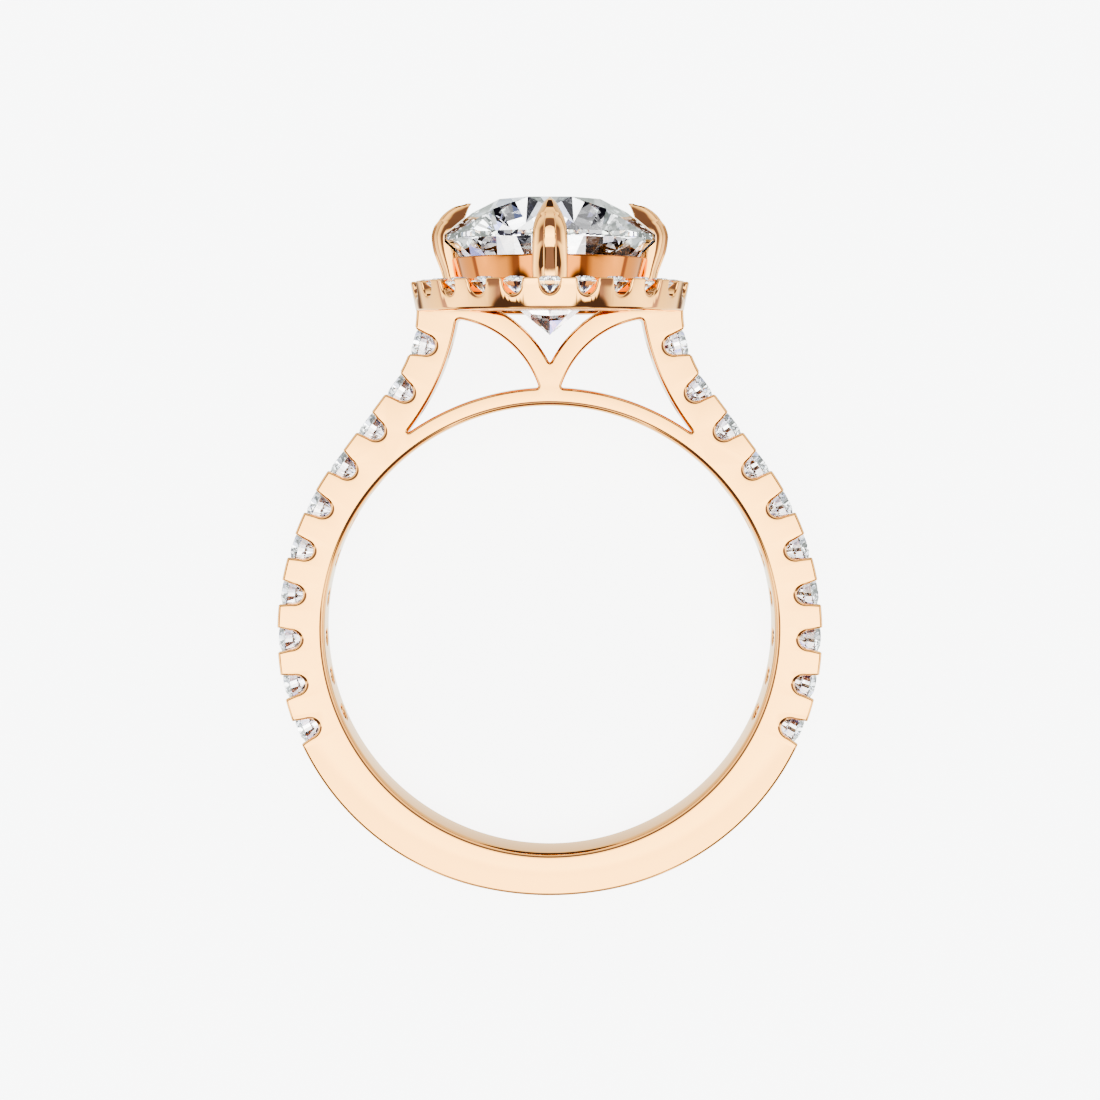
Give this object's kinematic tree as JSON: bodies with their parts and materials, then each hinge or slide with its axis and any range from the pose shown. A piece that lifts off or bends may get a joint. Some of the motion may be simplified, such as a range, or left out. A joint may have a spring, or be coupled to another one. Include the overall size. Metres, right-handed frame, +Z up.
{
  "type": "halo engagement ring",
  "caption": "Slim finger ring with a round centre stone in claws, a halo of small round stones and stones set down both cathedral shoulders.",
  "frame": {"origin": "centre of the bounding box's bottom face, on the surface that the ring lies on", "axes": "+Z up; +Y from the shank towards the head; +X across the band; the finger's axis leans 10.4 degrees from +Z towards -Y"},
  "size_m": [0.02, 0.0256, 0.0099],
  "materials": {
    "rose_gold": "polished rose gold",
    "diamond": "colourless cut and polished diamond"
  },
  "bodies": {
    "root": {"ring_mount": "rose_gold", "centre_stone": "diamond", "halo_stones": "diamond", "shoulder_stone_left_1": "diamond", "shoulder_stone_left_2": "diamond", "shoulder_stone_left_3": "diamond", "shoulder_stone_left_4": "diamond", "shoulder_stone_left_5": "diamond", "shoulder_stone_left_6": "diamond", "shoulder_stone_left_7": "diamond", "shoulder_stone_left_8": "diamond", "shoulder_stone_left_9": "diamond", "shoulder_stone_left_10": "diamond", "shoulder_stone_right_1": "diamond", "shoulder_stone_right_2": "diamond", "shoulder_stone_right_3": "diamond", "shoulder_stone_right_4": "diamond", "shoulder_stone_right_5": "diamond", "shoulder_stone_right_6": "diamond", "shoulder_stone_right_7": "diamond", "shoulder_stone_right_8": "diamond", "shoulder_stone_right_9": "diamond", "shoulder_stone_right_10": "diamond"}
  },
  "joints": []
}
